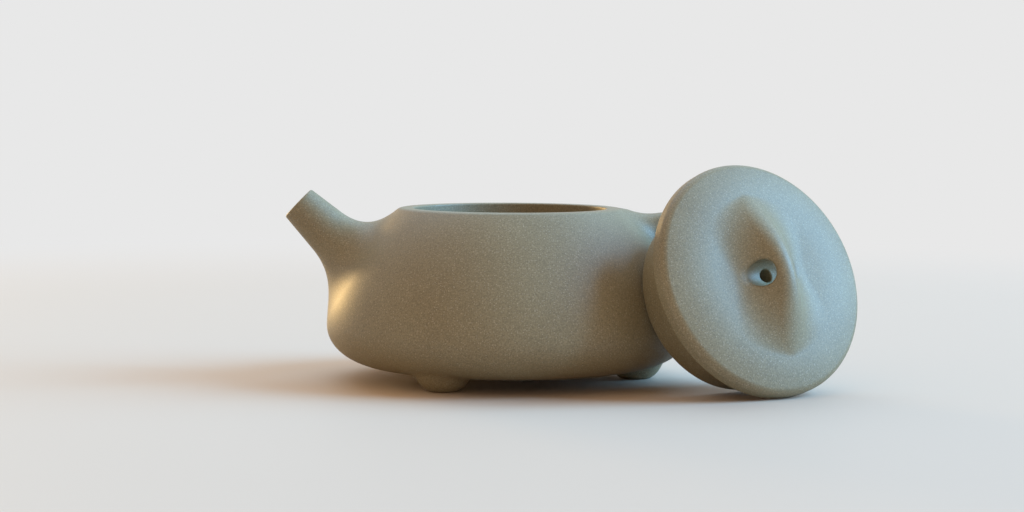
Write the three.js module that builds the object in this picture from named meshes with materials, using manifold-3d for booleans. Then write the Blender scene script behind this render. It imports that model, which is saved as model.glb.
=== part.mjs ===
// A small unglazed stoneware teapot of the stone-ladle form, wide and low, with a bridge-knobbed lid.
// The lid is off and leans on the pot's flank and handle. Millimetres, +Z up, standing on z = 0.
import * as THREE from 'three';
import { mergeVertices } from 'three/addons/utils/BufferGeometryUtils.js';
import Module from 'manifold-3d';

const wasm = await Module();
wasm.setup();

// Body: the outline of the pot, turned round its upright axis
const rimHeight = 47.5;
const mouthOuterRadius = 30.8;
const rimWidth = 4; // breadth of the flat rim
const mouthInnerRadius = mouthOuterRadius - rimWidth;
const bellyRadius = 50.9;
const bellyHeight = 14.9;
const baseRadius = 35.2;
const baseClearance = 3.7;
const flankLift = 11.5; // how far the flank rises upright from the belly before it leans in
const shoulderReach = 8.7; // run of the shoulder's straight slope below the rim
const shoulderDrop = 6.9;
const wallThickness = 3;
const floorThickness = 3;
const shoulderSlabDepth = 6.2; // the closing slab at the top of the wall
const mouthRingDepth = 2.8;
const rimRounding = 0.5;

// Spout: a straight tapered tube whose root flares into the body
const spoutTipReach = 59;
const spoutTipHeight = 48.65;
const spoutRise = 43.6; // degrees above level
const spoutTipRadius = 5.2;
const spoutTaper = 0.115; // growth of the radius per millimetre towards the root
const spoutBoreTipRadius = 3.5;
const spoutBoreTaper = 0.08;
const spoutFlare = 10.6; // width of the blend between the tube and the body
const spoutBuried = 16; // how far the flared root is run on into the body before it is cut to the skin
const strainerRadius = 8.2;
const strainerThickness = 1.7;
const strainerHoleRadius = 0.95;
const strainerRings = [1, 6];
const strainerHoleSpacing = 0.42; // radians between rings of holes
const pourHoleRadius = 6.2;

// Handle: a closed triangle with soft corners, on the side away from the spout
const handleThickness = 9.4; // across, front to back
const handleDepth = 8.2; // in the plane of the triangle
const handleTopHeight = 41.2; // centre line where the top bar leaves the shoulder
const handleCornerReach = 76.5;
const handleCornerHeight = 47;
const handleFootHeight = 15.5; // centre line where the lower leg meets the belly
const handleCornerRounding = 13;
const handleFlare = 9;

// Feet: three nubs under the edge of the base, even round it
const footAzimuths = { foot_handle_side: 0, foot_back_left: 120, foot_front_left: 240 };
const footCircleRadius = 35.2;
const footContactRadius = 3.6;
const footRootRadius = 8.2;
const footHeight = 8;
const footFlareCurve = 1.6; // power of height over share of the way out

// Lid: a disc with a softly crowned face, a deep flange that enters the mouth, and a bridge knob
const lidOverhang = 1.2; // past the outside of the mouth
const lidThickness = 7.2; // in the middle
const crownFlatRadius = 17; // the face is flat out to here
const crownRadius = 38; // curve of the face beyond the flat
const lidLowerRounding = 0.5;
const lidUpperRounding = 1.6;
const flangeClearance = 0.5; // between the flange's root and the mouth
const flangeTaper = 1; // how much smaller the free edge is than the root
const flangeDepth = 15.6;
const flangeThickness = 3;
const steamHoleRadius = 1.8;
const knobHeight = 8.5; // over the lid's face
const knobReach = 20.5; // from the middle to where the crest comes down to the face
const knobWaist = 3.2; // radius of the rounded crest
const knobFillet = 6; // hollow round the foot of the bridge, in its middle
const knobSpread = 0.04; // growth of that hollow's radius per square millimetre along the bridge
const knobEndBlend = 2.5; // height over which the crest runs out into the face
const knobTurn = 95; // degrees from the lid's level direction
const tunnelRadius = 4;
const tunnelRise = 2.2; // middle of the tunnel over the lid's face
const tunnelReach = 8; // how far its scooped ends run out to either side

// How the lid leans, off the pot
const lidReach = 64.55; // from the body's axis to the right, to the middle of the disc's underside
const lidForward = 32.5; // and to the front
const lidFacing = 32.65; // degrees its face turns to the right of straight ahead
const lidTilt = 21.85; // degrees its face tips up

// Fits and fineness
const seatGap = 0.3; // between pieces whose meeting faces are curved
const featherEdge = 0.25; // least thickness where a fillet runs out
const flareEdge = 0.6; // height over the body's skin at which a limb's flare ends
const turnSteps = 48;
const profileSteps = 8;
const tubeSteps = 24;
const footSteps = 20;

const clayColour = 0x8a8270;
const clayRoughness = 0.62;

const degrees = Math.PI / 180;

function clayMaterial() {
  return new THREE.MeshStandardMaterial({ color: clayColour, roughness: clayRoughness, metalness: 0 });
}

// Drops what only shading needs, merges shared corners and turns the faces outward
function toSolid(geometry) {
  const bare = geometry.clone();
  bare.deleteAttribute('normal');
  bare.deleteAttribute('uv');
  const merged = mergeVertices(bare, 1e-4);
  const place = merged.getAttribute('position');
  const corners = merged.getIndex().array;
  const kept = [];
  let volume = 0;
  const a = new THREE.Vector3();
  const b = new THREE.Vector3();
  const c = new THREE.Vector3();
  for (let i = 0; i < corners.length; i += 3) {
    const [p, q, r] = corners.slice(i, i + 3);
    if (p === q || q === r || r === p) continue;
    kept.push(p, q, r);
    a.fromBufferAttribute(place, p);
    b.fromBufferAttribute(place, q);
    c.fromBufferAttribute(place, r);
    volume += a.dot(b.cross(c));
  }
  if (volume < 0) kept.reverse();
  const mesh = new wasm.Mesh({
    numProp: 3,
    vertProperties: new Float32Array(place.array),
    triVerts: new Uint32Array(kept),
  });
  mesh.merge();
  return new wasm.Manifold(mesh);
}

function clayPiece(name, solid) {
  const { vertProperties, triVerts } = solid.getMesh();
  const geometry = new THREE.BufferGeometry();
  geometry.setAttribute('position', new THREE.BufferAttribute(new Float32Array(vertProperties), 3));
  geometry.setIndex(new THREE.BufferAttribute(new Uint32Array(triVerts), 1));
  geometry.computeVertexNormals();
  const mesh = new THREE.Mesh(geometry, clayMaterial());
  mesh.name = name;
  return mesh;
}

// A profile of (radius, height) points, turned round the z axis
function turned(profile) {
  return toSolid(new THREE.LatheGeometry(profile, turnSteps).rotateX(Math.PI / 2));
}

function turnedRing(profile) {
  return turned([...profile, profile[0].clone()]);
}

// The body's outline from the edge of the base, round the belly and up to the rim
function bodyOutline() {
  const points = [];
  for (let i = 0; i <= profileSteps; i++) {
    const angle = (Math.PI / 2) * (1 - i / profileSteps);
    points.push(new THREE.Vector2(
      baseRadius + (bellyRadius - baseRadius) * Math.cos(angle),
      bellyHeight - (bellyHeight - baseClearance) * Math.sin(angle),
    ));
  }
  const flank = new THREE.CubicBezierCurve(
    new THREE.Vector2(bellyRadius, bellyHeight),
    new THREE.Vector2(bellyRadius, bellyHeight + flankLift),
    new THREE.Vector2(mouthOuterRadius + shoulderReach, rimHeight - shoulderDrop),
    new THREE.Vector2(mouthOuterRadius, rimHeight),
  );
  return [...points, ...flank.getPoints(2 * profileSteps).slice(1)];
}

// The same outline moved square to itself, outward where the distance is positive
function offsetOutline(outline, distance) {
  return outline.map((point, i) => {
    const before = outline[Math.max(i - 1, 0)];
    const after = outline[Math.min(i + 1, outline.length - 1)];
    const along = after.clone().sub(before).normalize();
    return new THREE.Vector2(point.x + along.y * distance, point.y - along.x * distance);
  });
}

function radiusAtHeight(outline, height) {
  for (let i = 1; i < outline.length; i++) {
    const low = outline[i - 1];
    const high = outline[i];
    if (high.y >= height) {
      return low.x + ((high.x - low.x) * (height - low.y)) / (high.y - low.y);
    }
  }
  return outline[outline.length - 1].x;
}

// The stretch of an outline between two heights, with a point exactly on each
function stretch(outline, low, high) {
  const inside = outline.filter((p) => p.y > low + seatGap && p.y < high - seatGap);
  return [
    new THREE.Vector2(radiusAtHeight(outline, low), low),
    ...inside,
    new THREE.Vector2(radiusAtHeight(outline, high), high),
  ];
}

const outside = bodyOutline();
const inside = offsetOutline(outside, -wallThickness);
const floorTop = baseClearance + floorThickness;
const ringFoot = rimHeight - mouthRingDepth;
const wallTop = ringFoot - shoulderSlabDepth;

// The whole body without its hollow, thickened by a margin, for cutting what is luted on
function bodyCutter(margin) {
  const outline = offsetOutline(outside, margin);
  const top = rimHeight + margin;
  const bottom = baseClearance - margin;
  return turned([
    new THREE.Vector2(0, bottom),
    ...outline.map((p) => new THREE.Vector2(p.x, Math.min(Math.max(p.y, bottom), top))),
    new THREE.Vector2(0, top),
  ]);
}

// The hollow of the body, kept a margin clear of the wall
function chamber(margin) {
  const outline = offsetOutline(outside, -wallThickness - margin);
  return turned([
    new THREE.Vector2(0, floorTop + margin),
    ...stretch(outline, floorTop + margin, ringFoot),
    new THREE.Vector2(0, ringFoot),
  ]);
}

// How far a point lies outside the body's skin, negative inside it
function distanceToBody(point) {
  const radius = Math.hypot(point.x, point.y);
  const skin = [new THREE.Vector2(0, baseClearance), ...outside, new THREE.Vector2(0, rimHeight)];
  let nearest = Infinity;
  for (let i = 1; i < skin.length; i++) {
    const a = skin[i - 1];
    const span = skin[i].clone().sub(a);
    const offset = new THREE.Vector2(radius, point.z).sub(a);
    const share = Math.min(Math.max(offset.dot(span) / span.lengthSq(), 0), 1);
    nearest = Math.min(nearest, offset.sub(span.multiplyScalar(share)).length());
  }
  const level = point.z > baseClearance && point.z < rimHeight;
  return level && radius < radiusAtHeight(outside, point.z) ? -nearest : nearest;
}

// Joins two distances with a soft fillet of the given width, as wet clay is smoothed at a joint
function softJoin(first, second, width) {
  const near = Math.max(width - Math.abs(first - second), 0) / width;
  return Math.min(first, second) - (near * near * width) / 4;
}

// A closed solid through rings of as many points each, with flat ends
function lofted(rings) {
  const count = rings[0].length;
  const vertices = rings.flat().flatMap((point) => point.toArray());
  const faces = [];
  for (let i = 0; i + 1 < rings.length; i++) {
    for (let j = 0; j < count; j++) {
      const a = i * count + j;
      const b = i * count + ((j + 1) % count);
      faces.push(a, b, b + count, a, b + count, a + count);
    }
  }
  for (const ring of [0, rings.length - 1]) {
    const middle = new THREE.Vector3();
    rings[ring].forEach((point) => middle.addScaledVector(point, 1 / count));
    const hub = vertices.length / 3;
    vertices.push(...middle.toArray());
    for (let j = 0; j < count; j++) {
      const a = ring * count + j;
      const b = ring * count + ((j + 1) % count);
      faces.push(...(ring ? [hub, a, b] : [hub, b, a]));
    }
  }
  const geometry = new THREE.BufferGeometry();
  geometry.setAttribute('position', new THREE.BufferAttribute(new Float32Array(vertices), 3));
  geometry.setIndex(faces);
  return toSolid(geometry);
}

// Between two ends, the last place at which a test that holds at the first end still holds
function lastPassing(first, last, holds) {
  const halvings = 24;
  let near = first;
  let far = last;
  for (let k = 0; k < halvings; k++) {
    const middle = (near + far) / 2;
    if (holds(middle)) near = middle;
    else far = middle;
  }
  return near;
}

// A limb luted to the body: it flares into the body as the fillet asks. Its rings bend with the body's skin,
// so that in every direction round the limb the flare ends at the same height over the skin.
function flaredLimb({ frameAt, length, fillet, rows, steps, rootedAtStart }) {
  const furthest = flareEdge + fillet * (1 - Math.sqrt((4 * flareEdge) / fillet));
  const beside = (along, turn, off) => {
    const { centre, upward, halfWidth, halfDepth } = frameAt(along);
    const reach = new THREE.Vector3(0, Math.cos(turn) * halfWidth, 0)
      .addScaledVector(upward, Math.sin(turn) * halfDepth);
    return centre.clone().addScaledVector(reach, 1 + off / reach.length());
  };
  const inClay = (along, turn, off) => softJoin(off, distanceToBody(beside(along, turn, off)), fillet) < 0;
  const onSkin = (along, turn) => {
    const off = lastPassing(0, furthest, (tried) => inClay(along, turn, tried));
    return beside(along, turn, off);
  };
  const turns = Array.from({ length: steps }, (_, j) => (2 * Math.PI * j) / steps);
  const clear = (turn) => (along) => !inClay(along, turn, furthest);
  const starts = turns.map((turn) => (rootedAtStart ? lastPassing(length / 2, 0, clear(turn)) : 0));
  const ends = turns.map((turn) => lastPassing(rootedAtStart ? length / 2 : 0, length, clear(turn)));
  const rings = [];
  if (rootedAtStart) rings.push(turns.map((turn) => onSkin(0, turn)));
  for (let i = 0; i <= rows; i++) {
    const even = i / rows;
    const crowded = rootedAtStart ? (1 - Math.cos(Math.PI * even)) / 2 : Math.sin((Math.PI / 2) * even);
    const share = (even + crowded) / 2;
    rings.push(turns.map((turn, j) => onSkin(starts[j] + (ends[j] - starts[j]) * share, turn)));
  }
  rings.push(turns.map((turn) => onSkin(length, turn)));
  return lofted(rings);
}

// Body pieces
function baseSlab() {
  return turned([
    new THREE.Vector2(0, baseClearance),
    ...stretch(outside, baseClearance, floorTop),
    new THREE.Vector2(0, floorTop),
  ]);
}

function bodyWall() {
  return turnedRing([
    ...stretch(outside, floorTop, wallTop),
    ...stretch(inside, floorTop, wallTop).reverse(),
  ]);
}

function shoulderSlab() {
  return turnedRing([
    ...stretch(outside, wallTop, ringFoot),
    new THREE.Vector2(mouthInnerRadius, ringFoot),
    new THREE.Vector2(mouthInnerRadius, ringFoot - wallThickness / 2),
    ...stretch(inside, wallTop, ringFoot - wallThickness).reverse(),
  ]);
}

function mouthRing() {
  const edge = rimRounding * Math.SQRT1_2;
  return turnedRing([
    new THREE.Vector2(mouthInnerRadius, ringFoot),
    new THREE.Vector2(radiusAtHeight(outside, ringFoot), ringFoot),
    new THREE.Vector2(radiusAtHeight(outside, rimHeight - rimRounding), rimHeight - rimRounding),
    new THREE.Vector2(mouthOuterRadius - rimRounding + edge / 2, rimHeight - rimRounding + edge),
    new THREE.Vector2(mouthOuterRadius - rimRounding, rimHeight),
    new THREE.Vector2(mouthInnerRadius + rimRounding, rimHeight),
    new THREE.Vector2(mouthInnerRadius + rimRounding - edge, rimHeight - rimRounding + edge),
    new THREE.Vector2(mouthInnerRadius, rimHeight - rimRounding),
  ]);
}

// Spout, its bore, the hole behind it and the pierced dome over that hole
const spoutAxis = new THREE.Vector3(-Math.cos(spoutRise * degrees), 0, Math.sin(spoutRise * degrees));
const spoutTip = new THREE.Vector3(-spoutTipReach, 0, spoutTipHeight);

function spoutRootDistance() {
  const step = 0.25;
  let along = 0;
  while (distanceToBody(spoutTip.clone().addScaledVector(spoutAxis, -along)) > 0) along += step;
  return along;
}

const spoutLength = spoutRootDistance();

function spoutSolid() {
  const inward = spoutAxis.clone().negate();
  const upward = new THREE.Vector3(spoutAxis.z, 0, -spoutAxis.x);
  const limb = flaredLimb({
    frameAt: (along) => {
      const radius = spoutTipRadius + spoutTaper * along;
      const centre = spoutTip.clone().addScaledVector(inward, along);
      return { centre, upward, halfWidth: radius, halfDepth: radius };
    },
    length: spoutLength + spoutBuried,
    fillet: spoutFlare,
    rows: 14,
    steps: 30,
    rootedAtStart: false,
  });
  return limb.subtract(bodyCutter(seatGap)).subtract(boreSolid());
}

// Turns a z-axis solid on to the spout's axis, its start at the given distance from the tip
function ontoSpout(geometry, along) {
  const inward = spoutAxis.clone().negate();
  const turn = new THREE.Quaternion().setFromUnitVectors(new THREE.Vector3(0, 0, 1), inward);
  const start = spoutTip.clone().addScaledVector(inward, along);
  return toSolid(geometry.applyQuaternion(turn).translate(...start.toArray()));
}

function boreSolid() {
  const past = 2;
  const length = spoutLength + 3 * wallThickness;
  const profile = [
    new THREE.Vector2(0, -past),
    new THREE.Vector2(spoutBoreTipRadius, -past),
    new THREE.Vector2(spoutBoreTipRadius, 0),
    new THREE.Vector2(spoutBoreTipRadius + spoutBoreTaper * length, length),
    new THREE.Vector2(0, length),
  ];
  return ontoSpout(new THREE.LatheGeometry(profile, tubeSteps).rotateX(Math.PI / 2), 0);
}

function pourHole() {
  const length = 6 * wallThickness;
  const cylinder = new THREE.CylinderGeometry(pourHoleRadius, pourHoleRadius, length, tubeSteps);
  return ontoSpout(cylinder.rotateX(Math.PI / 2), spoutLength + wallThickness);
}

// A shallow dome inside the wall, one hole at its crown and a ring of holes round it
function strainerSolid() {
  const centreAlong = spoutLength + wallThickness;
  const steps = 16;
  const holeSteps = 8;
  const ball = new THREE.SphereGeometry(strainerRadius, steps, steps / 2);
  const hollow = new THREE.SphereGeometry(strainerRadius - strainerThickness, steps, steps / 2);
  let dome = ontoSpout(ball, centreAlong).subtract(ontoSpout(hollow, centreAlong));
  dome = dome.intersect(chamber(seatGap));
  strainerRings.forEach((count, ring) => {
    for (let i = 0; i < count; i++) {
      const length = 2 * strainerRadius;
      const hole = new THREE.CylinderGeometry(strainerHoleRadius, strainerHoleRadius, length, holeSteps)
        .rotateX(Math.PI / 2)
        .translate(0, 0, strainerRadius)
        .rotateX(ring * strainerHoleSpacing)
        .rotateZ((2 * Math.PI * i) / count);
      dome = dome.subtract(ontoSpout(hole, centreAlong));
    }
  });
  return dome;
}

// Handle: centre line of a triangle with soft corners, both ends buried in the wall
function handleSolid() {
  const inWall = (height) => new THREE.Vector3(radiusAtHeight(outside, height) - wallThickness, 0, height);
  const topStart = inWall(handleTopHeight);
  const footEnd = inWall(handleFootHeight);
  const corner = new THREE.Vector3(handleCornerReach, 0, handleCornerHeight);
  const intoCorner = corner.clone().sub(topStart).normalize();
  const outOfCorner = footEnd.clone().sub(corner).normalize();
  const line = new THREE.CurvePath();
  const bendStart = corner.clone().addScaledVector(intoCorner, -handleCornerRounding);
  const bendEnd = corner.clone().addScaledVector(outOfCorner, handleCornerRounding);
  line.add(new THREE.LineCurve3(topStart, bendStart));
  line.add(new THREE.QuadraticBezierCurve3(bendStart, corner, bendEnd));
  line.add(new THREE.LineCurve3(bendEnd, footEnd));
  const length = line.getLength();
  const across = new THREE.Vector3(0, 1, 0);
  const limb = flaredLimb({
    frameAt: (along) => ({
      centre: line.getPointAt(along / length),
      upward: new THREE.Vector3().crossVectors(line.getTangentAt(along / length), across),
      halfWidth: handleThickness / 2,
      halfDepth: handleDepth / 2,
    }),
    length,
    fillet: handleFlare,
    rows: 34,
    steps: 20,
    rootedAtStart: true,
  });
  return limb.subtract(bodyCutter(seatGap));
}

function footSolid(azimuth) {
  const rows = 6;
  const profile = [new THREE.Vector2(0, 0)];
  for (let i = 0; i <= rows; i++) {
    const share = i / rows;
    profile.push(new THREE.Vector2(
      footContactRadius + (footRootRadius - footContactRadius) * Math.sin((share * Math.PI) / 2),
      footHeight * share ** footFlareCurve,
    ));
  }
  profile.push(new THREE.Vector2(0, footHeight));
  const nub = new THREE.LatheGeometry(profile, footSteps).rotateX(Math.PI / 2)
    .translate(footCircleRadius, 0, 0)
    .rotateZ(azimuth * degrees);
  return toSolid(nub).subtract(bodyCutter(seatGap));
}

// Lid pieces, in the lid's own frame: z = 0 is the disc's underside, +z its face
const lidRadius = mouthOuterRadius + lidOverhang;
const flangeRootRadius = mouthInnerRadius - flangeClearance;

// The bridge's own frame stands in the middle of the lid's face, its first axis along the bridge
const bridgePlace = new THREE.Matrix4().makeRotationZ(knobTurn * degrees).setPosition(0, 0, lidThickness);

// The round tunnel under the bridge; its ends are scooped out of the face
function tunnelSolid() {
  const ball = new THREE.SphereGeometry(1, 20, 14).rotateX(Math.PI / 2)
    .scale(tunnelRadius, tunnelReach, tunnelRadius)
    .translate(0, 0, tunnelRise);
  return toSolid(ball).transform(bridgePlace.elements);
}

function lidFaceHeight(radius) {
  return lidThickness - Math.max(radius - crownFlatRadius, 0) ** 2 / (2 * crownRadius);
}

function lidDisc() {
  const cut = lidLowerRounding * (1 - Math.SQRT1_2);
  const profile = [
    new THREE.Vector2(steamHoleRadius, 0),
    new THREE.Vector2(lidRadius - lidLowerRounding, 0),
    new THREE.Vector2(lidRadius - cut, cut),
    new THREE.Vector2(lidRadius, lidLowerRounding),
  ];
  const steps = 4;
  for (let i = 0; i <= steps; i++) {
    const turn = (Math.PI / 2) * (1 - i / steps);
    const radius = lidRadius - lidUpperRounding * (1 - Math.sin(turn));
    const slope = (radius - crownFlatRadius) / crownRadius;
    const drop = lidUpperRounding * (1 - Math.cos(turn)) * Math.hypot(1, slope);
    profile.push(new THREE.Vector2(radius, lidFaceHeight(radius) - drop));
  }
  const crownEdge = lidRadius - lidUpperRounding;
  for (let i = 1; i <= steps; i++) {
    const radius = crownEdge + ((crownFlatRadius - crownEdge) * i) / steps;
    profile.push(new THREE.Vector2(radius, lidFaceHeight(radius)));
  }
  profile.push(new THREE.Vector2(steamHoleRadius, lidThickness));
  return turnedRing(profile).subtract(tunnelSolid());
}

function lidFlange() {
  const freeRadius = flangeRootRadius - flangeTaper;
  const edge = flangeThickness / 3;
  return turnedRing([
    new THREE.Vector2(flangeRootRadius, 0),
    new THREE.Vector2(flangeRootRadius - flangeThickness, 0),
    new THREE.Vector2(freeRadius - flangeThickness, edge - flangeDepth),
    new THREE.Vector2(freeRadius - flangeThickness + edge, -flangeDepth),
    new THREE.Vector2(freeRadius - edge, -flangeDepth),
    new THREE.Vector2(freeRadius, edge - flangeDepth),
  ]);
}

// Half of the bridge's section, from its crest out: a round top that runs into the fillet at its foot
function bridgeSection(along) {
  const height = -softJoin(-knobHeight * (1 - (along / knobReach) ** 2), 0, knobEndBlend);
  const fillet = knobFillet + knobSpread * along ** 2;
  const turn = Math.acos(1 - height / (knobWaist + fillet));
  const foot = (knobWaist + fillet) * Math.sin(turn);
  const steps = 4;
  const points = [];
  for (let i = 0; i < steps; i++) {
    const angle = (turn * i) / steps;
    points.push([knobWaist * Math.sin(angle), height - knobWaist * (1 - Math.cos(angle))]);
  }
  for (let i = steps; i >= 0; i--) {
    const angle = (turn * i) / steps;
    points.push([foot - fillet * Math.sin(angle), fillet * (1 - Math.cos(angle))]);
  }
  return points.map(([across, rise]) => [across, Math.max(rise, featherEdge)]);
}

// The bridge knob: arched along its crest, spreading into the face at its ends, pierced by the tunnel
function lidKnob() {
  const rows = 22;
  const end = knobReach * Math.sqrt(1 + knobEndBlend / (4 * knobHeight));
  const rings = Array.from({ length: rows + 1 }, (_, i) => {
    const along = end * (2 * (i / rows) - 1);
    const half = bridgeSection(along);
    const foot = half[half.length - 1][0];
    const mirrored = half.slice(1).reverse().map(([across, rise]) => [-across, rise]);
    const outline = [[-foot, 0], ...mirrored, ...half, [foot, 0]];
    return outline.map(([across, rise]) => new THREE.Vector3(along, across, rise));
  });
  return lofted(rings).transform(bridgePlace.elements).subtract(tunnelSolid());
}

const pot = new THREE.Group();
pot.add(
  clayPiece('base_slab', baseSlab()),
  clayPiece('body_wall', bodyWall().subtract(pourHole())),
  clayPiece('shoulder_slab', shoulderSlab()),
  clayPiece('mouth_ring', mouthRing()),
  clayPiece('spout', spoutSolid()),
  clayPiece('strainer', strainerSolid()),
  clayPiece('handle', handleSolid()),
  ...Object.entries(footAzimuths).map(([name, azimuth]) => clayPiece(name, footSolid(azimuth))),
);

// The leaning lid: its lower edge stands on the floor and its flange rests on the flank and the handle
const facing = new THREE.Vector3(
  Math.cos(lidTilt * degrees) * Math.sin(lidFacing * degrees),
  -Math.cos(lidTilt * degrees) * Math.cos(lidFacing * degrees),
  Math.sin(lidTilt * degrees),
);
const level = new THREE.Vector3(Math.cos(lidFacing * degrees), Math.sin(lidFacing * degrees), 0);
const steep = new THREE.Vector3().crossVectors(facing, level);
const lidStand = (lidRadius - lidLowerRounding) * Math.cos(lidTilt * degrees)
  + lidLowerRounding * (1 - Math.sin(lidTilt * degrees));

const lid = new THREE.Group();
lid.add(
  clayPiece('lid_disc', lidDisc()),
  clayPiece('lid_flange', lidFlange()),
  clayPiece('lid_knob', lidKnob()),
);
const lean = new THREE.Matrix4().makeBasis(level, steep, facing);
lid.applyMatrix4(lean.setPosition(lidReach, -lidForward, lidStand));

// The whole stands with the middle of its plan at the origin
const teapot = new THREE.Group();
teapot.add(pot, lid);
const extent = new THREE.Box3().setFromObject(teapot, true);
const middle = extent.getCenter(new THREE.Vector3());
teapot.position.set(-middle.x, -middle.y, -extent.min.z);

export default teapot;
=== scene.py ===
"""An unglazed stoneware teapot of the stone-ladle form, its lid leaning on it, dressed for a studio picture.

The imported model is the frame. The pot and the lid are each one seamless fired piece, so each is made here as
one skin: a smooth distance field of the potter's pieces, softly joined, with a mesh laid on its surface.
Sizes are in millimetres, and the meshes in metres.
"""

import math

import bpy
import numpy as np
from mathutils import Matrix, Vector


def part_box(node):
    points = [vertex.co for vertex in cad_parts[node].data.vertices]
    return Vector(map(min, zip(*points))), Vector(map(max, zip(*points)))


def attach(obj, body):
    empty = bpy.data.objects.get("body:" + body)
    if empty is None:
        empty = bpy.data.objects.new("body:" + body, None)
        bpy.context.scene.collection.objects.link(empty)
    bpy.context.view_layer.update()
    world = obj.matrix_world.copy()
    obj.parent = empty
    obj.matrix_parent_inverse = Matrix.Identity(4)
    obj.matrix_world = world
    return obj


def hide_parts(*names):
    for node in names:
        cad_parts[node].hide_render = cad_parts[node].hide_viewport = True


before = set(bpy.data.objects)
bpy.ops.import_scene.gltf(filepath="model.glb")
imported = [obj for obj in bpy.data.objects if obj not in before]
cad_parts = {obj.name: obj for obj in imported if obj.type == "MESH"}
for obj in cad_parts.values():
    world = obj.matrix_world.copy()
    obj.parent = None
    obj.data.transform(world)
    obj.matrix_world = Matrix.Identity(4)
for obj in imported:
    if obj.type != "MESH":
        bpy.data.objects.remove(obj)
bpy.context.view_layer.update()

bl_info = {
    "name": "Stoneware Teapot",
    "version": (1, 0, 0),
    "blender": (4, 5, 0),
    "location": "3D View > Sidebar > Teapot",
    "description": "Builds an unglazed stoneware teapot and its leaning lid around a packed frame",
    "category": "Add Mesh",
}

MM = 0.001
POT_NODES = (
    "base_slab", "body_wall", "shoulder_slab", "mouth_ring", "spout", "handle",
    "foot_handle_side", "foot_back_left", "foot_front_left",
)
LID_NODES = ("lid_disc", "lid_flange", "lid_knob")


def node_centre(node):
    """Centre of a node's box, in millimetres."""
    low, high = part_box(node)
    return (low + high) / 2 / MM


def node_top(node):
    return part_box(node)[1].z / MM


def millimetres(name, description, default, low=0.0, high=200.0):
    return bpy.props.FloatProperty(name=name, description=description, default=default, min=low, max=high)


def degrees(name, description, default):
    """An angle property whose default is in degrees."""
    return bpy.props.FloatProperty(
        name=name, description=description, default=math.radians(default), subtype="ANGLE",
    )


def watts(name, description, default):
    return bpy.props.FloatProperty(name=name, description=description, default=default, unit="POWER")


def colour(name, description, default):
    """A colour property whose default is an sRGB hex value."""
    return bpy.props.FloatVectorProperty(
        name=name, description=description, default=linear(default), size=3, min=0, max=1, subtype="COLOR",
    )


def linear(hex_value):
    """An sRGB hex value such as 0x8a8270 as three linear numbers."""
    parts = [((hex_value >> shift) & 255) / 255 for shift in (16, 8, 0)]
    return tuple(c / 12.92 if c <= 0.04045 else ((c + 0.055) / 1.055) ** 2.4 for c in parts)


class PotSizes(bpy.types.PropertyGroup):
    """Sizes of the pot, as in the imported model."""

    rim_height: millimetres("Rim height", "Height of the flat rim", node_top("mouth_ring"))
    mouth_outer: millimetres("Mouth outer radius", "Outside of the mouth", 30.8)
    mouth_inner: millimetres("Mouth inner radius", "Inside of the mouth", 26.8)
    neck_depth: millimetres("Neck depth", "Depth of the upright inside of the mouth", 4.0)
    belly_radius: millimetres("Belly radius", "Widest part of the body", 50.9)
    belly_height: millimetres("Belly height", "Height of the widest part", 14.9)
    base_radius: millimetres("Base radius", "Where the flat underside ends", 35.2)
    base_clearance: millimetres("Base clearance", "Height of the underside over the table", 3.7)
    flank_lift: millimetres("Flank lift", "How far the flank rises upright from the belly", 11.5)
    shoulder_reach: millimetres("Shoulder reach", "Run of the shoulder below the rim", 8.7)
    shoulder_drop: millimetres("Shoulder drop", "Fall of the shoulder over that run", 6.9)
    wall: millimetres("Wall", "Thickness of the wall and floor", 3.0)
    edge_rounding: millimetres("Edge rounding", "Rounding of the rim and the spout's tip", 0.45)
    spout_reach: millimetres("Spout reach", "Pot axis to the middle of the tip", 59.0)
    spout_height: millimetres("Spout height", "Height of the middle of the tip", 48.65)
    spout_rise: degrees("Spout rise", "Angle of the spout over level", 43.6)
    spout_radius: millimetres("Spout radius", "Outside of the tip", 5.2)
    spout_taper: millimetres("Spout taper", "Growth of the radius per millimetre", 0.115)
    bore_radius: millimetres("Bore radius", "Inside of the tip", 3.5)
    bore_taper: millimetres("Bore taper", "Growth of the bore per millimetre", 0.08)
    spout_flare: millimetres("Spout flare", "Width of the soft joint of spout and body", 10.6)
    handle_width: millimetres("Handle width", "Front to back", 9.4)
    handle_depth: millimetres("Handle depth", "In the plane of the triangle", 8.2)
    handle_top: millimetres("Handle top", "Height at which the top bar leaves the body", 41.2)
    handle_foot: millimetres("Handle foot", "Height at which the lower leg meets the body", 15.5)
    handle_corner_reach: millimetres("Handle corner reach", "Pot axis to the corner", 76.5)
    handle_corner_height: millimetres("Handle corner height", "Height of the corner", 47.0)
    handle_corner_rounding: millimetres("Handle corner rounding", "Length of the bend either side", 13.0)
    handle_flare: millimetres("Handle flare", "Width of the soft joint of handle and body", 6.0)
    foot_circle: millimetres("Foot circle", "Pot axis to the middle of each foot", 35.2)
    foot_contact: millimetres("Foot contact radius", "Face that meets the table", 3.6)
    foot_root: millimetres("Foot root radius", "Where the foot is widest", 8.2)
    foot_height: millimetres("Foot height", "Height at which the foot is widest", 8.0)
    foot_flare: millimetres("Foot flare", "Width of the soft joint of foot and base", 1.6)


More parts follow.
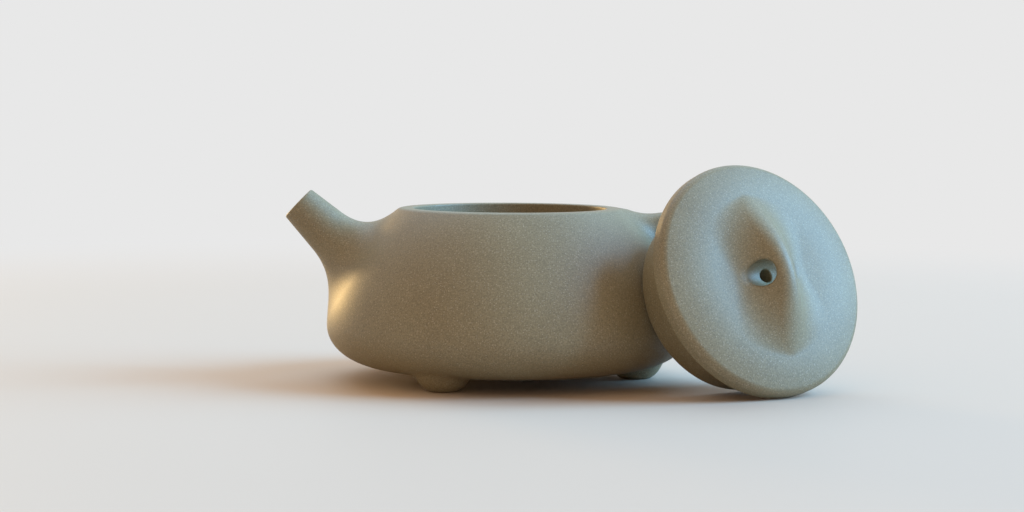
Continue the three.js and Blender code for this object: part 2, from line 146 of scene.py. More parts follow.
class LidSizes(bpy.types.PropertyGroup):
    """Sizes of the lid and how it leans."""

    radius: millimetres("Radius", "Edge of the disc", 32.0)
    thickness: millimetres("Thickness", "Thickness of the disc in the middle", 7.2)
    crown_flat: millimetres("Crown flat radius", "The face is flat out to here", 17.0)
    crown_radius: millimetres("Crown radius", "Curve of the face beyond the flat", 38.0)
    lower_rounding: millimetres("Lower rounding", "Rounding of the lower edge", 0.5)
    upper_rounding: millimetres("Upper rounding", "Rounding of the upper edge", 1.6)
    flange_root: millimetres("Flange root radius", "Outside of the flange at the disc", 26.3)
    flange_taper: millimetres("Flange taper", "How much smaller the free edge is", 1.0)
    flange_depth: millimetres("Flange depth", "Depth below the disc", 15.6)
    flange_wall: millimetres("Flange wall", "Thickness of the flange", 3.0)
    steam_hole: millimetres("Steam hole radius", "Hole through the disc", 1.8)
    knob_height: millimetres("Knob height", "Crest over the face", 8.5)
    knob_reach: millimetres("Knob reach", "Where the crest has run out into the face", 22.5)
    knob_waist: millimetres("Knob waist", "Radius of the rounded crest", 3.2)
    crest_spread: bpy.props.FloatProperty(
        name="Crest spread", default=0.018,
        description="Growth of the crest's radius per square millimetre along the bridge",
    )
    knob_fillet: millimetres("Knob fillet", "Fillet between the bridge and the face", 10.5)
    fillet_spread: bpy.props.FloatProperty(
        name="Fillet spread", default=0.06,
        description="Growth of the fillet's radius per square millimetre along the bridge",
    )
    knob_turn: degrees("Knob turn", "Bridge against the level line of the face", 95)
    tunnel_radius: millimetres("Tunnel radius", "Round hole through the bridge", 4.0)
    tunnel_rise: millimetres("Tunnel rise", "Middle of the hole over the face", 2.2)
    tunnel_reach: millimetres("Tunnel reach", "How far its scooped ends run out", 9.0)
    reach: millimetres("Reach", "Pot axis to the disc, to the right", 64.55)
    forward: millimetres("Forward", "Pot axis to the disc, to the front", 32.5)
    facing: degrees("Facing", "Turn of the face to the right", 32.65)
    tilt: degrees("Tilt", "Tip of the face upwards", 21.85)


class ClayLook(bpy.types.PropertyGroup):
    """Colours and grain of the fired clay."""

    ground: colour("Ground", "Main colour of the fired clay", 0x8C8266)
    deep: colour("Deep", "Darker, browner drift of the clay", 0x7A6C50)
    grain_pale: colour("Pale grain", "Quartz and mica sand that shows at the surface", 0xC9C0AC)
    grain_dark: colour("Dark grain", "Iron sand that shows at the surface", 0x5A4E3F)
    grain_size: millimetres("Grain size", "Spacing of the pale sand", 0.5)
    drift_size: millimetres("Drift size", "Size of the slow drifts of colour", 22.0)
    roughness: bpy.props.FloatProperty(
        name="Roughness", description="Satin of the burnished skin", default=0.5, min=0, max=1,
        subtype="FACTOR",
    )


class StudioLook(bpy.types.PropertyGroup):
    """Floor, backdrop, lamps and camera."""

    floor: colour("Floor", "Pale table top", 0xCDBBA9)
    backdrop: colour("Backdrop", "Pale backdrop", 0xE8E8E8)
    key: colour("Key light", "Cool light of the window at the right", 0x83C9FF)
    sky: colour("Sky light", "Pale light from high behind", 0xAADDFF)
    low: colour("Low light", "Warm light from behind at the left", 0xFFD48C)
    key_power: watts("Key power", "Window at the right", 572)
    sky_power: watts("Sky power", "High window behind", 132)
    low_power: watts("Low power", "Warm low light", 17.5)
    ambient: colour("Ambient", "Soft light from all round", 0xD9BB9C)
    camera_distance: millimetres("Camera distance", "Pot axis to camera", 639.785, 0, 5000)
    camera_height: millimetres("Camera height", "Eye height over the table", 78.93)
    camera_shift: millimetres("Camera shift", "To the right of the pot axis", 0.578, -100)
    camera_pitch: degrees("Camera pitch", "How far it looks down", 4.015)
    camera_roll: degrees("Camera roll", "Turn about its line of sight", -0.242)
    camera_lens: bpy.props.FloatProperty(
        name="Camera lens", description="Focal length", default=80.86, unit="CAMERA",
    )


# Distance fields: negative inside the clay, in millimetres


def soft_union(first, second, width):
    """Joins two solids with a soft fillet, as wet clay is smoothed at a joint."""
    near = np.maximum(width - np.abs(first - second), 0) / width
    return np.minimum(first, second) - near * near * width / 4


def round_union(first, second, radius):
    """Joins two solids with a fillet of the given radius."""
    u = np.maximum(radius - first, 0)
    v = np.maximum(radius - second, 0)
    return np.maximum(radius, np.minimum(first, second)) - np.hypot(u, v)


def round_common(first, second, radius):
    """What two solids have in common, its edge rounded to the given radius."""
    u = np.maximum(radius + first, 0)
    v = np.maximum(radius + second, 0)
    return np.minimum(-radius, np.maximum(first, second)) + np.hypot(u, v)


class ProfileField:
    """Signed distance to a closed outline of (radius, height) points, read off a fine table."""

    def __init__(self, outline, step=0.25, margin=34.0):
        outline = np.array(outline, float)
        self.step = step
        self.low = np.array([0.0, outline[:, 1].min() - margin])
        high = outline.max(0) + margin
        radii = np.arange(self.low[0], high[0], step)
        heights = np.arange(self.low[1], high[1], step)
        self.shape = (len(radii), len(heights))
        grid_r, grid_z = np.meshgrid(radii, heights, indexing="ij")
        nearest = np.full(self.shape, np.inf)
        inside = np.zeros(self.shape, bool)
        for (r0, z0), (r1, z1) in zip(outline, np.roll(outline, -1, 0)):
            span_r, span_z = r1 - r0, z1 - z0
            share = ((grid_r - r0) * span_r + (grid_z - z0) * span_z) / (span_r**2 + span_z**2)
            share = np.clip(share, 0, 1)
            gap = np.hypot(grid_r - r0 - share * span_r, grid_z - z0 - share * span_z)
            if max(r0, r1) > 0:
                nearest = np.minimum(nearest, gap)
            if span_z:
                crossed = (z0 > grid_z) != (z1 > grid_z)
                inside ^= crossed & (grid_r < r0 + (grid_z - z0) * span_r / span_z)
        self.table = np.where(inside, -nearest, nearest)

    def __call__(self, radius, height):
        u = np.clip((radius - self.low[0]) / self.step, 0, self.shape[0] - 1.001)
        v = np.clip((height - self.low[1]) / self.step, 0, self.shape[1] - 1.001)
        i, j = u.astype(int), v.astype(int)
        u, v = u - i, v - j
        lower = self.table[i, j] * (1 - u) + self.table[i + 1, j] * u
        upper = self.table[i, j + 1] * (1 - u) + self.table[i + 1, j + 1] * u
        return lower * (1 - v) + upper * v


def bezier(points, steps):
    """Points of a Bezier curve of any order, both ends included."""
    share = np.linspace(0, 1, steps + 1)[:, None]
    layer = [np.array(p, float) * np.ones_like(share) for p in points]
    while len(layer) > 1:
        layer = [a * (1 - share) + b * share for a, b in zip(layer, layer[1:])]
    return layer[0]


def body_outline(s):
    """The solid body's outline, run on past the rim so that the rim's edge is cut by itself."""
    belly_points, flank_steps = 40, 60
    angle = np.linspace(math.pi / 2, 0, belly_points)
    belly = np.stack([
        s.base_radius + (s.belly_radius - s.base_radius) * np.cos(angle),
        s.belly_height - (s.belly_height - s.base_clearance) * np.sin(angle),
    ], 1)
    shoulder = np.array([s.mouth_outer + s.shoulder_reach, s.rim_height - s.shoulder_drop])
    rim = np.array([s.mouth_outer, s.rim_height])
    flank = bezier([belly[-1], belly[-1] + [0, s.flank_lift], shoulder, rim], flank_steps)
    past_rim = rim + (rim - shoulder)
    return [(0, s.base_clearance), *belly, *flank[1:], past_rim, (0, past_rim[1])]


def handle_line(s, body):
    """Centre line of the handle in the upright plane of the spout: two straight bars and the bend between."""
    probe_reach, probe_count, bend_steps = 60, 1201, 24
    heights = np.array([s.handle_top, s.handle_foot])
    reaches = np.linspace(0, probe_reach, probe_count)
    skins = [reaches[np.argmax(body(reaches, np.full_like(reaches, h)) > 0)] for h in heights]
    top, foot = (np.array([r - s.wall, h]) for r, h in zip(skins, heights))
    corner = np.array([s.handle_corner_reach, s.handle_corner_height])
    into = (corner - top) / np.linalg.norm(corner - top)
    out_of = (foot - corner) / np.linalg.norm(foot - corner)
    bend_start = corner - into * s.handle_corner_rounding
    bend_end = corner + out_of * s.handle_corner_rounding
    return np.vstack([top, bezier([bend_start, corner, bend_end], bend_steps), foot])


def distance_to_line(x, z, line):
    """Distance in a plane to an open line of points."""
    nearest = np.full(x.shape, np.inf)
    for a, b in zip(line, line[1:]):
        span = b - a
        share = np.clip(((x - a[0]) * span[0] + (z - a[1]) * span[1]) / (span @ span), 0, 1)
        nearest = np.minimum(nearest, np.hypot(x - a[0] - share * span[0], z - a[1] - share * span[1]))
    return nearest


def pot_field(s):
    """The pot's field: body, spout, handle and feet softly joined, then hollow, mouth and bore cut out."""
    foot_points, foot_curve = 24, 1.6
    hollow_rounding = 1.0
    # how far the tube and its bore run down from the tip, to end inside the hollow
    bore_end = 30.0
    body = ProfileField(body_outline(s))
    line = handle_line(s, body)
    share = np.linspace(0, 1, foot_points)
    foot_radii = s.foot_contact + (s.foot_root - s.foot_contact) * np.sin(share * math.pi / 2)
    foot_heights = s.foot_height * share**foot_curve
    foot = ProfileField([(0, 0), *zip(foot_radii, foot_heights), (0, s.foot_height)], step=0.1, margin=12)
    rise = s.spout_rise

    def field(x, y, z):
        radius = np.hypot(x, y)
        skin = body(radius, z)
        along = (x + s.spout_reach) * math.cos(rise) - (z - s.spout_height) * math.sin(rise)
        lift = (x + s.spout_reach) * math.sin(rise) + (z - s.spout_height) * math.cos(rise)
        around = np.hypot(lift, y)
        tube = around - s.spout_radius - s.spout_taper * along
        tube = round_common(tube, -along, s.edge_rounding)
        tube = np.maximum(tube, along - bore_end)
        solid = soft_union(skin, tube, s.spout_flare)
        bar = np.hypot(
            distance_to_line(x, z, line) / (s.handle_depth / 2),
            y / (s.handle_width / 2),
        ) - 1
        solid = soft_union(solid, bar * min(s.handle_depth, s.handle_width) / 2, s.handle_flare)
        for azimuth in (0, 2 * math.pi / 3, 4 * math.pi / 3):
            foot_x = x - s.foot_circle * math.cos(azimuth)
            foot_y = y - s.foot_circle * math.sin(azimuth)
            solid = soft_union(solid, foot(np.hypot(foot_x, foot_y), z), s.foot_flare)
        over_mouth = np.maximum(s.rim_height - z, radius - s.mouth_outer - s.neck_depth / 2)
        solid = round_common(solid, -over_mouth, s.edge_rounding)
        hollow = round_common(skin + s.wall, z - s.rim_height + s.neck_depth, hollow_rounding)
        mouth = np.maximum(radius - s.mouth_inner, s.rim_height - 3 * s.neck_depth - z)
        hollow = soft_union(hollow, mouth, hollow_rounding)
        solid = round_common(solid, -hollow, s.edge_rounding)
        bore = around - s.bore_radius - s.bore_taper * np.maximum(along, 0)
        bore = np.maximum(bore, along - bore_end)
        return round_common(solid, -bore, s.edge_rounding)

    return field


def bridge_field(s, along, across, over):
    """Distance to a flat face with the bridge knob raised from it.

    Across the bridge the section is a round crest and, either side, a fillet that touches crest and face.
    Along it the crest sinks into the face, and both radii grow, so that its ends are broad and soft.
    """
    sink = 1.5
    crest = s.knob_height * np.maximum(1 - (along / s.knob_reach) ** 2, 0) ** sink
    waist = s.knob_waist + s.crest_spread * along**2
    fillet = s.knob_fillet + s.fillet_spread * along**2
    between = waist + fillet
    turn = np.arccos(1 - crest / between)
    foot = between * np.sin(turn)
    side, above = np.abs(across), over - crest + waist
    top = np.hypot(side, above) - waist
    hollow = fillet - np.hypot(foot - side, fillet - over)
    beside = np.where(side > foot, over, hollow)
    return np.where(np.sin(turn) * above > np.cos(turn) * side, top, beside)


def lid_field(s):
    """The lid's field in its own frame: disc, flange and raised knob, then tunnel and steam hole cut out."""
    flange_rounding, flange_fillet = 1.0, 0.6
    tunnel_rounding, hole_rounding = 1.0, 0.3
    cosine, sine = math.cos(s.knob_turn), math.sin(s.knob_turn)

    def field(x, y, z):
        radius = np.hypot(x, y)
        height = z - s.thickness
        along, across = x * cosine + y * sine, y * cosine - x * sine
        past_flat = np.maximum(radius - s.crown_flat, 0)
        slope = past_flat / s.crown_radius
        face = bridge_field(s, along, across, height + past_flat * slope / 2) / np.hypot(1, slope)
        disc = round_common(radius - s.radius, face, s.upper_rounding)
        disc = round_common(disc, -z, s.lower_rounding)
        middle = s.flange_root - s.flange_wall / 2 + s.flange_taper * z / s.flange_depth
        flange = np.abs(radius - middle) - s.flange_wall / 2
        flange = round_common(flange, -z - s.flange_depth, flange_rounding)
        flange = np.maximum(flange, z - s.thickness / 2)
        solid = round_union(disc, flange, flange_fillet)
        lift = height - s.tunnel_rise
        in_plan = (along / s.tunnel_radius) ** 2 + (across / s.tunnel_reach) ** 2
        tunnel = (np.sqrt(in_plan + (lift / s.tunnel_radius) ** 2) - 1) * s.tunnel_radius
        solid = round_common(solid, -tunnel, tunnel_rounding)
        hole = np.maximum(radius - s.steam_hole, height - s.tunnel_rise)
        return round_common(solid, -hole, hole_rounding)

    return field


def grade(*stretches):
    """Grid lines from stretches of (start, end, spacing), each starting where the last one ends."""
    lines = []
    for start, end, spacing in stretches:
        count = max(1, round((end - start) / spacing))
        lines.extend(np.linspace(start, end, count + 1)[:-1])
    lines.append(stretches[-1][1])
    return np.array(lines)


def gradient(field, points, probe=0.02):
    columns = []
    for axis in range(3):
        step = np.zeros(3)
        step[axis] = probe
        ahead, behind = points + step, points - step
        columns.append((field(*ahead.T) - field(*behind.T)) / (2 * probe))
    return np.stack(columns, 1)


def settle(field, points):
    """Moves points onto a field's surface, in a few short steps along its slope."""
    rounds, longest_step, least_slope = 4, 0.6, 0.5
    for _ in range(rounds):
        slope = gradient(field, points)
        step = field(*points.T) / np.maximum((slope**2).sum(1), least_slope**2)
        points = points - slope * np.clip(step, -longest_step, longest_step)[:, None]
    return points


def face_outward(field, points, group):
    """Corner lists of faces of one kind, turned round where they would face into the clay."""
    corners = points[group]
    normal = np.cross(corners[:, 1] - corners[:, 0], corners[:, -1] - corners[:, 0])
    normal += np.cross(corners[:, -1] - corners[:, -2], corners[:, 1] - corners[:, -2])
    flip = (normal * gradient(field, corners.mean(1))).sum(1) < 0
    return np.where(flip[:, None], group[:, ::-1], group).tolist()


def skin_mesh(field, turns, radii, heights):
    """Lays a closed mesh on a field's surface, by surface nets on a grid of turns, radii and heights."""
    turn_count, ring_count, level_count = len(turns), len(radii) - 1, len(heights) - 1
    grid_t, grid_r, grid_z = np.meshgrid(turns, radii, heights, indexing="ij")
    place = np.stack([grid_r * np.cos(grid_t), grid_r * np.sin(grid_t), grid_z], -1)
    value = np.stack([field(*np.moveaxis(sheet, -1, 0)) for sheet in place])
    total = np.zeros((turn_count, ring_count, level_count, 3))
    count = np.zeros(total.shape[:3], int)
    wrapped_place = np.concatenate([place, place[:1]])
    wrapped_value = np.concatenate([value, value[:1]])

    def corner(array, a, b, c):
        return array[a : a + turn_count, b : b + ring_count, c : c + level_count]

    # each cell of the grid gets one point, the mean of the places where the surface crosses its edges
    for axis in range(3):
        others = [k for k in range(3) if k != axis]
        for bits in range(4):
            start = [0, 0, 0]
            start[others[0]], start[others[1]] = bits & 1, bits >> 1
            end = list(start)
            end[axis] = 1
            f0, f1 = corner(wrapped_value, *start), corner(wrapped_value, *end)
            crossed = (f0 < 0) != (f1 < 0)
            share = np.where(crossed, f0 / np.where(crossed, f0 - f1, 1), 0)[..., None]
            p0, p1 = corner(wrapped_place, *start), corner(wrapped_place, *end)
            total += np.where(crossed[..., None], p0 + (p1 - p0) * share, 0)
            count += crossed
    active = count > 0
    index = np.full(active.shape, -1)
    index[active] = np.arange(active.sum())
    points = total[active] / count[active][:, None]
    # each edge of the grid that the surface crosses gets a face, of the points of the four cells beside it
    inside = value < 0
    ahead = np.roll(inside, -1, 0)
    before = np.roll(index, 1, 0)
    i, j, k = np.nonzero((inside != ahead)[:, 1:-1, 1:-1])
    upright = [index[i, j, k], index[i, j + 1, k], index[i, j + 1, k + 1], index[i, j, k + 1]]
    i, j, k = np.nonzero((inside[:, :-1] != inside[:, 1:])[:, :, 1:-1])
    around = [before[i, j, k], index[i, j, k], index[i, j, k + 1], before[i, j, k + 1]]
    i, j, k = np.nonzero((inside[:, :, :-1] != inside[:, :, 1:])[:, 1:-1])
    level = [before[i, j, k], index[i, j, k], index[i, j + 1, k], before[i, j + 1, k]]
    quads = np.vstack([np.stack(side, 1) for side in (upright, around, level)])
    # where the surface crosses the axis, the innermost ring of points closes to a fan
    caps = []
    for k in np.nonzero(inside[0, 0, :-1] != inside[0, 0, 1:])[0]:
        share = value[0, 0, k] / (value[0, 0, k] - value[0, 0, k + 1])
        points = np.vstack([points, [0, 0, heights[k] + share * (heights[k + 1] - heights[k])]])
        ring = index[:, 0, k]
        caps.append(np.stack([ring, np.roll(ring, -1), np.full(turn_count, len(points) - 1)], 1))
    points = settle(field, points)
    polygons = []
    for group in [quads, *caps]:
        polygons.extend(face_outward(field, points, group))
    return points, polygons


def add_piece(name, points, polygons, material, body, nodes):
    """Makes an object from millimetre points in the row frame, which rides on a body for its nodes."""
    mesh = bpy.data.meshes.new(name)
    mesh.from_pydata((points * MM).tolist(), [], polygons)
    mesh.validate()
    mesh.polygons.foreach_set("use_smooth", [True] * len(mesh.polygons))
    mesh.materials.append(material)
    mesh.update()
    piece = bpy.data.objects.new(name, mesh)
    bpy.context.scene.collection.objects.link(piece)
    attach(piece, body)
    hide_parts(*nodes)
    return piece


# Materials


def add_node(tree, kind, settings=None, links=None):
    """Adds a node, sets its properties and sockets by name and links its inputs."""
    node = tree.nodes.new(kind)
    for key, value in (settings or {}).items():
        if isinstance(key, str) and hasattr(node, key):
            setattr(node, key, value)
        else:
            node.inputs[key].default_value = value
    for key, source in (links or {}).items():
        tree.links.new(source, node.inputs[key])
    return node


def clay_material(name, look):
    """Burnished unglazed stoneware: a sandy clay, so fine pale and dark grains show in a satin skin.

    The real sand is partly finer than the grains drawn, which are as coarse as it takes for them to show.
    """
    material = bpy.data.materials.new(name)
    material.use_nodes = True
    tree = material.node_tree
    tree.nodes.clear()
    coordinate = add_node(tree, "ShaderNodeTexCoord")
    where = coordinate.outputs["Object"]
    drift = add_node(
        tree, "ShaderNodeTexNoise",
        {"Scale": 1 / (look.drift_size * MM), "Detail": 3.0, "Roughness": 0.6}, {"Vector": where},
    )
    ground = add_node(
        tree, "ShaderNodeMix",
        {"data_type": "RGBA", 6: (*look.ground, 1), 7: (*look.deep, 1)}, {0: drift.outputs["Fac"]},
    )
    mottle = add_node(
        tree, "ShaderNodeTexNoise",
        {"Scale": 1 / (0.8 * look.grain_size * MM), "Detail": 3.0, "Roughness": 0.7}, {"Vector": where},
    )
    shade = add_node(
        tree, "ShaderNodeMapRange",
        {"From Min": 0.3, "From Max": 0.7, "To Min": 0.7, "To Max": 1.28}, {"Value": mottle.outputs["Fac"]},
    )
    mottled = add_node(
        tree, "ShaderNodeHueSaturation", {}, {"Color": ground.outputs[2], "Value": shade.outputs["Result"]},
    )
    sand = add_node(
        tree, "ShaderNodeTexVoronoi",
        {"Scale": 1 / (look.grain_size * MM), "Randomness": 1.0}, {"Vector": where},
    )
    pale = add_node(
        tree, "ShaderNodeMapRange",
        {"From Min": 0.4, "From Max": 0.15, "To Min": 0.0, "To Max": 0.42},
        {"Value": sand.outputs["Distance"]},
    )
    chosen = add_node(tree, "ShaderNodeSeparateColor", {}, {"Color": sand.outputs["Color"]})
    some = add_node(
        tree, "ShaderNodeMapRange",
        {"From Min": 0.2, "From Max": 1.0, "To Min": 0.0, "To Max": 1.0},
        {"Value": chosen.outputs["Red"]},
    )
    pale_share = add_node(
        tree, "ShaderNodeMath", {"operation": "MULTIPLY"},
        {0: pale.outputs["Result"], 1: some.outputs["Result"]},
    )
    sanded = add_node(
        tree, "ShaderNodeMix", {"data_type": "RGBA", 7: (*look.grain_pale, 1)},
        {0: pale_share.outputs["Value"], 6: mottled.outputs["Color"]},
    )
    iron = add_node(
        tree, "ShaderNodeTexVoronoi", {"Scale": 0.7 / (look.grain_size * MM)}, {"Vector": where},
    )
    dark = add_node(
        tree, "ShaderNodeMapRange",
        {"From Min": 0.2, "From Max": 0.08, "To Min": 0.0, "To Max": 0.4},
        {"Value": iron.outputs["Distance"]},
    )
    flecked = add_node(
        tree, "ShaderNodeMix", {"data_type": "RGBA", 7: (*look.grain_dark, 1)},
        {0: dark.outputs["Result"], 6: sanded.outputs[2]},
    )
    tooth = add_node(
        tree, "ShaderNodeTexNoise",
        {"Scale": 1 / (0.45 * look.grain_size * MM), "Detail": 4.0, "Roughness": 0.65}, {"Vector": where},
    )
    gloss = add_node(
        tree, "ShaderNodeMapRange",
        {"To Min": look.roughness - 0.07, "To Max": look.roughness + 0.09}, {"Value": tooth.outputs["Fac"]},
    )
    bump = add_node(
        tree, "ShaderNodeBump", {"Strength": 0.35, "Distance": 0.05 * MM}, {"Height": tooth.outputs["Fac"]},
    )
    shader = add_node(
        tree, "ShaderNodeBsdfPrincipled", {"IOR": 1.5},
        {
            "Base Color": flecked.outputs[2],
            "Roughness": gloss.outputs["Result"],
            "Normal": bump.outputs["Normal"],
        },
    )
    add_node(tree, "ShaderNodeOutputMaterial", {}, {"Surface": shader.outputs["BSDF"]})
    return material


def shared_clay():
    name = "burnished unglazed stoneware"
    return bpy.data.materials.get(name) or clay_material(name, bpy.context.scene.teapot_clay)


class TEAPOT_OT_pot(bpy.types.Operator):
    """Builds the pot: body, spout, handle and feet as one fired piece"""

    bl_idname = "teapot.pot"
    bl_label = "Pot"

    def execute(self, context):
        sizes = context.scene.teapot_pot
        # fine at the handle, at the feet a third of a turn either side of it, and at the spout
        turns = np.radians(grade(
            (-180, -174, 0.35), (-174, -155, 0.6), (-155, -130, 1.6), (-130, -110, 1.0),
            (-110, -15, 1.8), (-15, 15, 0.8), (15, 110, 1.8),
            (110, 130, 1.0), (130, 155, 1.6), (155, 174, 0.6), (174, 180, 0.35),
        ))[:-1]
        # fine at the mouth's inner and outer edges and at the spout's tip
        radii = grade(
            (0, 25.8, 1.6), (25.8, 27.6, 0.15), (27.6, 29.8, 0.6), (29.8, 33, 0.2),
            (33, 52.5, 0.75), (52.5, 64, 0.3), (64, 84, 0.8),
        )
        # fine at the feet's contact, the rim and the spout's tip
        heights = grade(
            (-0.6, 0.6, 0.2), (0.6, 6, 0.4), (6, 43, 0.9),
            (43, 46.9, 0.4), (46.9, 47.9, 0.12), (47.9, 56, 0.35),
        )
        points, polygons = skin_mesh(pot_field(sizes), turns, radii, heights)
        points = points + pot_origin()
        add_piece("pot", points, polygons, shared_clay(), "pot", POT_NODES)
        return {"FINISHED"}


class TEAPOT_OT_lid(bpy.types.Operator):
    """Builds the leaning lid: disc, flange and bridge knob as one fired piece"""

    bl_idname = "teapot.lid"
    bl_label = "Lid"

    def execute(self, context):
        sizes = context.scene.teapot_lid
        # fine at the steam hole, the disc's edge and the knob
        turns = np.radians(grade((0, 360, 1.5)))[:-1]
        radii = grade((0, 3, 0.3), (3, 20, 0.55), (20, 30, 0.5), (30, 33, 0.2))
        heights = grade((-16.6, -14.1, 0.25), (-14.1, -1.2, 1.3), (-1.2, 7.6, 0.22), (7.6, 16.5, 0.4))
        points, polygons = skin_mesh(lid_field(sizes), turns, radii, heights)
        facing, tilt = sizes.facing, sizes.tilt
        normal = np.array([
            math.cos(tilt) * math.sin(facing), -math.cos(tilt) * math.cos(facing), math.sin(tilt),
        ])
        level = np.array([math.cos(facing), math.sin(facing), 0])
        steep = np.cross(normal, level)
        rounding = sizes.lower_rounding
        stand = (sizes.radius - rounding) * math.cos(tilt) + rounding * (1 - math.sin(tilt))
        origin = pot_origin() + [sizes.reach, -sizes.forward, stand]
        points = origin + points @ np.stack([level, steep, normal])
        add_piece("lid", points, polygons, shared_clay(), "lid", LID_NODES)
        return {"FINISHED"}


class TEAPOT_OT_strainer(bpy.types.Operator):
    """Gives the strainer inside the pot its clay"""

    bl_idname = "teapot.strainer"
    bl_label = "Strainer"

    def execute(self, context):
        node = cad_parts["strainer"]
        node.data.materials.clear()
        node.data.materials.append(shared_clay())
        return {"FINISHED"}


def pot_origin():
    """The foot of the pot's axis, in millimetres in the row frame."""
    centre = node_centre("mouth_ring")
    return np.array([centre.x, centre.y, 0.0])


def seen_ray(tree):
    """One where a ray is seen, by the camera or in a gloss or glass, and nought where it lights."""
    path = add_node(tree, "ShaderNodeLightPath")
    glossy = add_node(
        tree, "ShaderNodeMath", {"operation": "MAXIMUM"},
        {0: path.outputs["Is Camera Ray"], 1: path.outputs["Is Glossy Ray"]},
    )
    seen = add_node(
        tree, "ShaderNodeMath", {"operation": "MAXIMUM"},
        {0: glossy.outputs["Value"], 1: path.outputs["Is Transmission Ray"]},
    )
    return seen.outputs["Value"]


def floor_material(look):
    """Matt white table top: soft and even, lit as it is near the pot, and the backdrop's tone far from it."""
    fade_start, fade_end = 0.3, 0.62
    material = bpy.data.materials.new("matt white table top")
    material.use_nodes = True
    tree = material.node_tree
    tree.nodes.clear()
    table = add_node(tree, "ShaderNodeBsdfPrincipled", {"Base Color": (*look.floor, 1), "Roughness": 0.6})
    far = add_node(tree, "ShaderNodeEmission", {"Color": (*look.backdrop, 1), "Strength": 1.0})
    coordinate = add_node(tree, "ShaderNodeTexCoord")
    distance = add_node(
        tree, "ShaderNodeVectorMath", {"operation": "LENGTH"}, {0: coordinate.outputs["Object"]},
    )
    fade = add_node(
        tree, "ShaderNodeMapRange",
        {"interpolation_type": "SMOOTHSTEP", "From Min": fade_start, "From Max": fade_end},
        {"Value": distance.outputs["Value"]},
    )
    share = add_node(
        tree, "ShaderNodeMath", {"operation": "MULTIPLY"}, {0: fade.outputs["Result"], 1: seen_ray(tree)},
    )
    mixed = add_node(
        tree, "ShaderNodeMixShader", {},
        {0: share.outputs["Value"], 1: table.outputs["BSDF"], 2: far.outputs["Emission"]},
    )
    add_node(tree, "ShaderNodeOutputMaterial", {}, {"Surface": mixed.outputs["Shader"]})
    return material


def place_at(azimuth, elevation, distance):
    """A point in metres, by degrees from the spout-to-handle line and above the table."""
    turn, rise = math.radians(azimuth), math.radians(elevation)
    level = distance * math.cos(rise)
    return level * math.cos(turn), level * math.sin(turn), distance * math.sin(rise)


def add_lamp(name, tone, power, azimuth, elevation, distance, width, height):
    """An area lamp that faces the pot, its angles in degrees and its sizes in metres."""
    place, target = place_at(azimuth, elevation, distance), (0.0, 0.0, 0.02)
    data = bpy.data.lights.new(name, "AREA")
    data.shape = "RECTANGLE"
    data.size, data.size_y = width, height
    data.energy = power
    data.color = tone
    lamp = bpy.data.objects.new(name, data)
    lamp.location = place
    lamp.rotation_euler = (Vector(target) - Vector(place)).to_track_quat("-Z", "Y").to_euler()
    lamp.visible_camera = False
    bpy.context.scene.collection.objects.link(lamp)
    return lamp


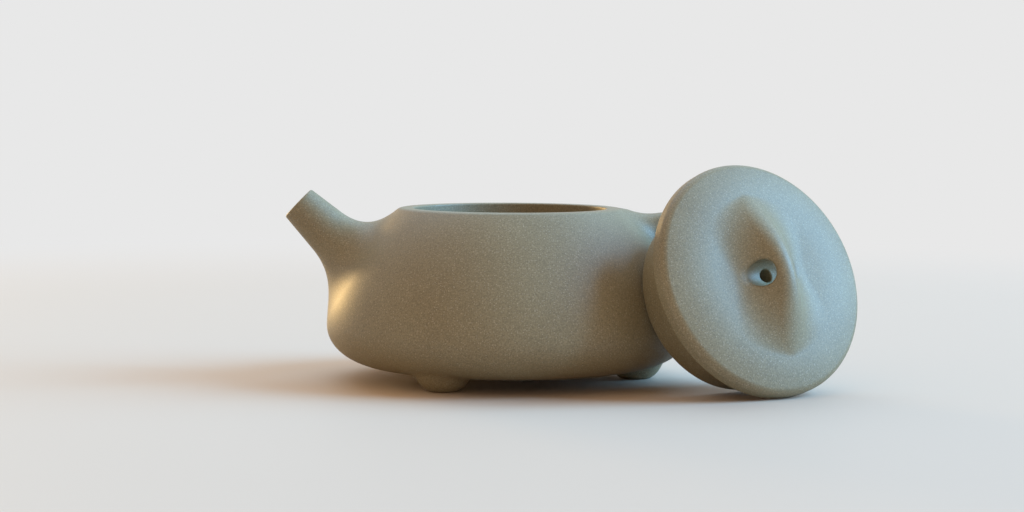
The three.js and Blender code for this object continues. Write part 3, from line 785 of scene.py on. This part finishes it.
class TEAPOT_OT_stage(bpy.types.Operator):
    """Sets the pale floor, the soft lamps and the camera"""

    bl_idname = "teapot.stage"
    bl_label = "Studio"

    def execute(self, context):
        look = context.scene.teapot_studio
        half = 3.0
        corners = [(-half, -half, 0), (half, -half, 0), (half, half, 0), (-half, half, 0)]
        mesh = bpy.data.meshes.new("floor")
        mesh.from_pydata(corners, [], [(0, 1, 2, 3)])
        mesh.materials.append(floor_material(look))
        floor = bpy.data.objects.new("floor", mesh)
        context.scene.collection.objects.link(floor)
        self.light(context.scene, look)
        self.camera(context.scene, look)
        context.scene.view_settings.view_transform = "Standard"
        return {"FINISHED"}

    def light(self, scene, look):
        world = bpy.data.worlds.new("studio")
        world.use_nodes = True
        tree = world.node_tree
        tree.nodes.clear()
        ambient = add_node(tree, "ShaderNodeBackground", {"Color": (*look.ambient, 1), "Strength": 1.0})
        shown = add_node(tree, "ShaderNodeBackground", {"Color": (*look.backdrop, 1), "Strength": 1.0})
        mixed = add_node(
            tree, "ShaderNodeMixShader", {},
            {0: seen_ray(tree), 1: ambient.outputs["Background"], 2: shown.outputs["Background"]},
        )
        add_node(tree, "ShaderNodeOutputWorld", {}, {"Surface": mixed.outputs["Shader"]})
        scene.world = world
        add_lamp(
            "cool_window", look.key, look.key_power,
            azimuth=0, elevation=28, distance=5, width=3.4, height=3.6,
        )
        add_lamp(
            "high_window", look.sky, look.sky_power,
            azimuth=90, elevation=55, distance=5, width=6.0, height=3.0,
        )
        add_lamp(
            "warm_low_light", look.low, look.low_power,
            azimuth=125, elevation=8, distance=2, width=0.5, height=0.3,
        )

    def camera(self, scene, look):
        pitch, roll = look.camera_pitch, look.camera_roll
        forward = Vector((0, math.cos(pitch), -math.sin(pitch)))
        plain_up = Vector((0, math.sin(pitch), math.cos(pitch)))
        plain_right = Vector((1, 0, 0))
        up = plain_up * math.cos(roll) + plain_right * math.sin(roll)
        right = plain_right * math.cos(roll) - plain_up * math.sin(roll)
        offset = Vector((look.camera_shift, -look.camera_distance, look.camera_height))
        place = Vector(pot_origin()) + offset
        data = bpy.data.cameras.new("camera")
        data.lens = look.camera_lens
        camera = bpy.data.objects.new("camera", data)
        turn = Matrix((right, up, -forward)).transposed().to_4x4()
        camera.matrix_world = Matrix.Translation(place * MM) @ turn
        scene.collection.objects.link(camera)
        scene.camera = camera


class TEAPOT_PT_panel(bpy.types.Panel):
    """Lists the pieces of the teapot and the studio"""

    bl_idname = "TEAPOT_PT_panel"
    bl_label = "Teapot"
    bl_space_type = "VIEW_3D"
    bl_region_type = "UI"
    bl_category = "Teapot"

    def draw(self, context):
        for operator in OPERATORS:
            self.layout.operator(operator.bl_idname)
        for group in ("teapot_pot", "teapot_lid", "teapot_clay", "teapot_studio"):
            settings = getattr(context.scene, group)
            box = self.layout.box()
            for name in settings.bl_rna.properties.keys():
                if name not in ("rna_type", "name"):
                    box.prop(settings, name)


OPERATORS = (TEAPOT_OT_pot, TEAPOT_OT_lid, TEAPOT_OT_strainer, TEAPOT_OT_stage)
GROUPS = {
    "teapot_pot": PotSizes,
    "teapot_lid": LidSizes,
    "teapot_clay": ClayLook,
    "teapot_studio": StudioLook,
}


def register():
    for cls in (*GROUPS.values(), *OPERATORS, TEAPOT_PT_panel):
        bpy.utils.register_class(cls)
    for name, group in GROUPS.items():
        setattr(bpy.types.Scene, name, bpy.props.PointerProperty(type=group))


def unregister():
    for name in GROUPS:
        delattr(bpy.types.Scene, name)
    for cls in reversed((*GROUPS.values(), *OPERATORS, TEAPOT_PT_panel)):
        bpy.utils.unregister_class(cls)


def main():
    register()
    bpy.ops.teapot.pot()
    bpy.ops.teapot.lid()
    bpy.ops.teapot.strainer()
    bpy.ops.teapot.stage()


if __name__ == "__main__":
    main()
